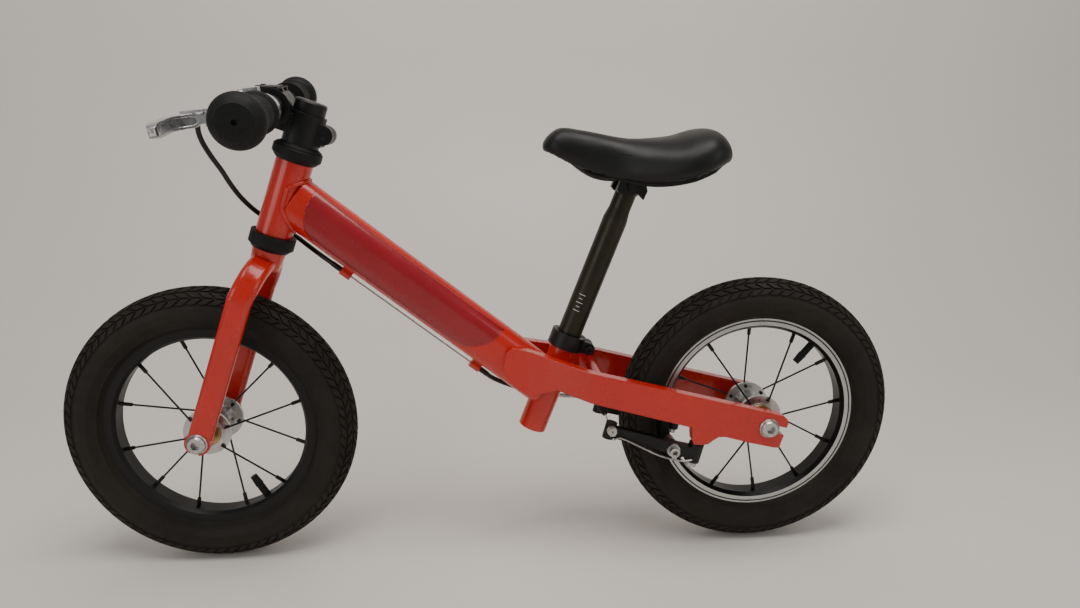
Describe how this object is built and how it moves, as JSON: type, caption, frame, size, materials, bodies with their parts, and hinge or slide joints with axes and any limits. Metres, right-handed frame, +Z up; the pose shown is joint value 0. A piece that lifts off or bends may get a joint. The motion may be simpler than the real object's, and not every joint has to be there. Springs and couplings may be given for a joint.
{
  "type": "balance bike",
  "caption": "Child's balance bike with air tyres on spoked wheels, a sloping main tube, a turning fork and handlebar, a padded saddle and a hand lever for a rear rim brake.",
  "frame": {"origin": "on the ground, in the centre plane, midway between the axles", "axes": "+Z up, -X to the front of the bike, -Y to its left side, where the brake lever is"},
  "size_m": [0.8779, 0.3696, 0.5087],
  "materials": {
    "frame_paint": "gloss enamel",
    "tyre_rubber": "matt moulded rubber",
    "tube_rubber": "smooth",
    "soft_rubber": "matt",
    "cable_housing": "satin sleeve",
    "silver_alloy": "satin polished",
    "bright_steel": "zinc plated",
    "bearing_gold": "satin",
    "black_steel": "black coated",
    "rim_bright": "machined side wall",
    "rim_black": "satin black anodised",
    "post_black": "satin anodised",
    "saddle_cover": "soft vinyl",
    "saddle_plastic": "matt",
    "black_alloy": "satin black"
  },
  "bodies": {
    "frame": {"head_tube": "frame_paint", "main_tube": "frame_paint", "seat_tube": "frame_paint", "chainstay_left": "frame_paint", "chainstay_right": "frame_paint", "stay_bridge": "frame_paint", "headset_cups": "black_alloy", "headset_bearings": "bright_steel", "rear_axle": "bright_steel", "rear_axle_bolts": "bright_steel", "housing_front": "cable_housing", "inner_cable": "bright_steel", "housing_rear": "cable_housing", "brake_pivot_bolts": "bright_steel", "seat_clamp": "black_alloy", "seat_clamp_bolt": "black_steel"},
    "steering": {"headset_races": "black_alloy", "fork": "frame_paint", "front_axle": "bright_steel", "front_axle_bolts": "bright_steel", "stem": "black_alloy", "stem_faceplate": "black_alloy", "stem_bolts": "black_steel", "top_cap": "black_alloy", "handlebar": "black_alloy", "grip_left": "soft_rubber", "grip_right": "soft_rubber", "lever_body": "silver_alloy", "lever_bolts": "bright_steel", "cable_adjuster": "silver_alloy"},
    "front_wheel": {"front_tyre": "tyre_rubber", "front_inner_tube": "tube_rubber", "front_rim": "rim_black", "front_spokes": "black_steel", "front_hub": "silver_alloy", "front_bearings": "bearing_gold"},
    "rear_wheel": {"rear_tyre": "tyre_rubber", "rear_inner_tube": "tube_rubber", "rear_rim": "rim_bright", "rear_spokes": "black_steel", "rear_hub": "silver_alloy", "rear_bearings": "bearing_gold"},
    "brake_lever": {"lever_blade": "silver_alloy"},
    "left_arm": {"brake_arm_left": "black_alloy", "brake_pad_left": "soft_rubber", "pad_stud_left": "bright_steel", "return_spring_left": "bright_steel", "cable_anchor": "bright_steel"},
    "right_arm": {"brake_arm_right": "black_alloy", "brake_pad_right": "soft_rubber", "pad_stud_right": "bright_steel", "return_spring_right": "bright_steel", "noodle": "bright_steel", "noodle_boot": "soft_rubber"},
    "post": {"seat_post": "post_black"},
    "saddle": {"saddle_clamp": "black_alloy", "saddle_clamp_bolt": "black_steel", "saddle_rails": "black_steel", "saddle_base": "saddle_plastic", "saddle_pad": "saddle_cover"}
  },
  "joints": [
    {"name": "steering_turn", "type": "hinge", "parent": "frame", "child": "steering", "pos_m": [-0.2144, 0, 0.344], "axis": [0.3404, 0, 0.9403], "range_deg": [-60, 60], "deforming": ["housing_front"]},
    {"name": "front_wheel_spin", "type": "hinge", "parent": "steering", "child": "front_wheel", "pos_m": [-0.29, 0, 0.149], "axis": [0, 1, 0], "continuous": true},
    {"name": "rear_wheel_spin", "type": "hinge", "parent": "frame", "child": "rear_wheel", "pos_m": [0.29, 0, 0.149], "axis": [0, 1, 0], "continuous": true},
    {"name": "brake_lever_pull", "type": "hinge", "parent": "steering", "child": "brake_lever", "pos_m": [-0.22484, -0.08187, 0.46457], "axis": [-0.1177, -0.0838, 0.9895], "range_deg": [0, 20], "stiffness_Nm_per_rad": 0.8, "springref_deg": -17.19},
    {"name": "left_arm_turn", "type": "hinge", "parent": "frame", "child": "left_arm", "pos_m": [0.214, -0.045, 0.121], "axis": [0.2504, 0, 0.9681], "range_deg": [-2.6, 0], "deforming": ["cable_anchor"]},
    {"name": "right_arm_turn", "type": "hinge", "parent": "frame", "child": "right_arm", "pos_m": [0.214, 0.045, 0.121], "axis": [0.2504, 0, 0.9681], "range_deg": [0, 2.6], "deforming": ["housing_rear"]},
    {"name": "seat_height", "type": "slide", "parent": "frame", "child": "post", "axis": [0.3584, 0, 0.9336], "range_m": [-0.06, 0.03]},
    {"name": "saddle_tilt", "type": "hinge", "parent": "post", "child": "saddle", "pos_m": [0.14553, 0, 0.39654], "axis": [0, 1, 0], "range_deg": [-8, 8]}
  ],
  "couplings": [
    {"joint": "left_arm_turn", "follows": "brake_lever_pull", "ratio": -0.13},
    {"joint": "right_arm_turn", "follows": "brake_lever_pull", "ratio": 0.13}
  ]
}
